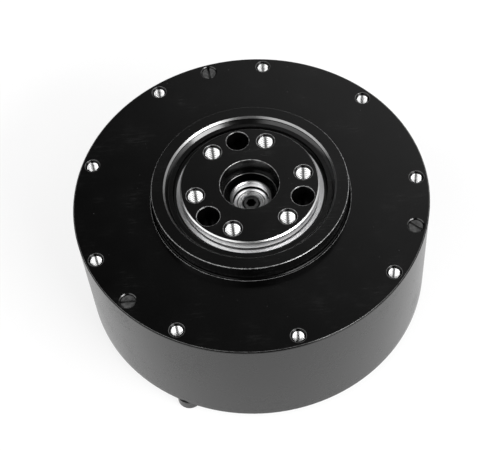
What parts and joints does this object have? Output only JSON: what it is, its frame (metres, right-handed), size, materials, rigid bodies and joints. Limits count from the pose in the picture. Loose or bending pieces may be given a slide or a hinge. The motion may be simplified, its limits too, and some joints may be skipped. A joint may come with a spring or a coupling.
{
  "type": "geared servo drive unit",
  "caption": "Flat round drive unit with a raised boss on its front face and a drilled output flange turning inside it, driven by a planetary gearbox and a ring motor.",
  "frame": {"origin": "where the output axis crosses the front mounting face of the drum", "axes": "+Z along the output axis, out of the output flange; +X and +Y lie in the front face"},
  "size_m": [0.0802, 0.08, 0.0367],
  "materials": {
    "black_anodised": "black satin anodised, bright where it was tapped after anodising",
    "bare_aluminium": "bare machined aluminium",
    "bright_steel": "bright ground steel",
    "dark_steel": "black oxide steel",
    "steel": "machined steel",
    "bearing_steel": "ground and hardened",
    "black_rubber": "moulded seal",
    "cage_polymer": "moulded",
    "bronze": "sintered bronze",
    "nickel": "nickel plated magnet",
    "lamination": "stacked electrical steel",
    "enamelled_copper": "enamelled wire",
    "bobbin_polymer": "moulded",
    "wire_insulation": "insulated lead",
    "board_laminate": "solder mask",
    "chip_body": "moulded",
    "connector_polymer": "moulded"
  },
  "bodies": {
    "housing": {"drum_housing": "black_anodised", "rim_set_screws": "dark_steel", "bearing_housing": "black_anodised", "stator_hub": "bare_aluminium", "gearbox_screws": "dark_steel", "back_cover": "black_anodised", "back_cover_screws": "dark_steel", "main_bearing_outer_ring": "bearing_steel", "main_bearing_seals": "black_rubber", "ring_gear": "steel", "rotor_bearing_outer_ring": "bearing_steel", "rotor_bearing_shields": "steel", "rotor_bearing_clip": "dark_steel", "stator_core": "lamination", "coil_bobbins": "bobbin_polymer", "stator_windings": "enamelled_copper", "phase_leads": "wire_insulation", "control_board": "board_laminate", "encoder_chip": "chip_body", "power_transistors": "chip_body", "power_connector": "connector_polymer", "signal_connector": "connector_polymer", "board_screws": "steel"},
    "output": {"output_flange": "black_anodised", "flange_snap_ring": "dark_steel", "main_bearing_inner_ring": "bearing_steel", "nose_bearing_sleeve": "bright_steel", "nose_bearing_outer_ring": "bearing_steel", "nose_bearing_shields": "steel", "carrier_back_plate": "steel", "carrier_screws": "dark_steel", "planet_pins": "bearing_steel", "planet_bushes": "bronze", "planet_washers": "steel"},
    "planet_1": {"planet_gear_1": "steel"},
    "planet_2": {"planet_gear_2": "steel"},
    "planet_3": {"planet_gear_3": "steel"},
    "rotor": {"sun_gear_shaft": "steel", "rotor_hub": "bare_aluminium", "rotor_ring": "steel", "rotor_magnets": "nickel", "encoder_magnet": "nickel", "rotor_bearing_inner_ring": "bearing_steel", "nose_bearing_inner_ring": "bearing_steel"},
    "main_bearing_train": {"main_bearing_balls": "bearing_steel", "main_bearing_cage": "cage_polymer"},
    "rotor_bearing_train": {"rotor_bearing_balls": "bearing_steel", "rotor_bearing_cage": "cage_polymer"},
    "nose_bearing_train": {"nose_bearing_balls": "bearing_steel", "nose_bearing_cage": "cage_polymer"}
  },
  "joints": [
    {"name": "output_spin", "type": "hinge", "parent": "housing", "child": "output", "pos_m": [0, 0, 0], "axis": [0, 0, 1], "continuous": true},
    {"name": "rotor_spin", "type": "hinge", "parent": "housing", "child": "rotor", "pos_m": [0, 0, -0.0187], "axis": [0, 0, 1], "continuous": true},
    {"name": "planet_1_spin", "type": "hinge", "parent": "output", "child": "planet_1", "pos_m": [-0.00147, 0.00964, -0.00955], "axis": [0, 0, 1], "continuous": true},
    {"name": "planet_2_spin", "type": "hinge", "parent": "output", "child": "planet_2", "pos_m": [-0.00761, -0.0061, -0.00955], "axis": [0, 0, 1], "continuous": true},
    {"name": "planet_3_spin", "type": "hinge", "parent": "output", "child": "planet_3", "pos_m": [0.00908, -0.00354, -0.00955], "axis": [0, 0, 1], "continuous": true},
    {"name": "main_bearing_train_spin", "type": "hinge", "parent": "housing", "child": "main_bearing_train", "pos_m": [0, 0, -0.00185], "axis": [0, 0, 1], "continuous": true},
    {"name": "rotor_bearing_train_spin", "type": "hinge", "parent": "housing", "child": "rotor_bearing_train", "pos_m": [0, 0, -0.0187], "axis": [0, 0, 1], "continuous": true},
    {"name": "nose_bearing_train_spin", "type": "hinge", "parent": "output", "child": "nose_bearing_train", "pos_m": [0, 0, -0.0045], "axis": [0, 0, 1], "continuous": true}
  ],
  "couplings": [
    {"joint": "rotor_spin", "follows": "output_spin", "ratio": 5.2},
    {"joint": "planet_1_spin", "follows": "output_spin", "ratio": -2.625},
    {"joint": "planet_2_spin", "follows": "output_spin", "ratio": -2.625},
    {"joint": "planet_3_spin", "follows": "output_spin", "ratio": -2.625},
    {"joint": "main_bearing_train_spin", "follows": "output_spin", "ratio": 0.45798},
    {"joint": "rotor_bearing_train_spin", "follows": "output_spin", "ratio": 2.2414},
    {"joint": "nose_bearing_train_spin", "follows": "output_spin", "ratio": 1.7348}
  ]
}
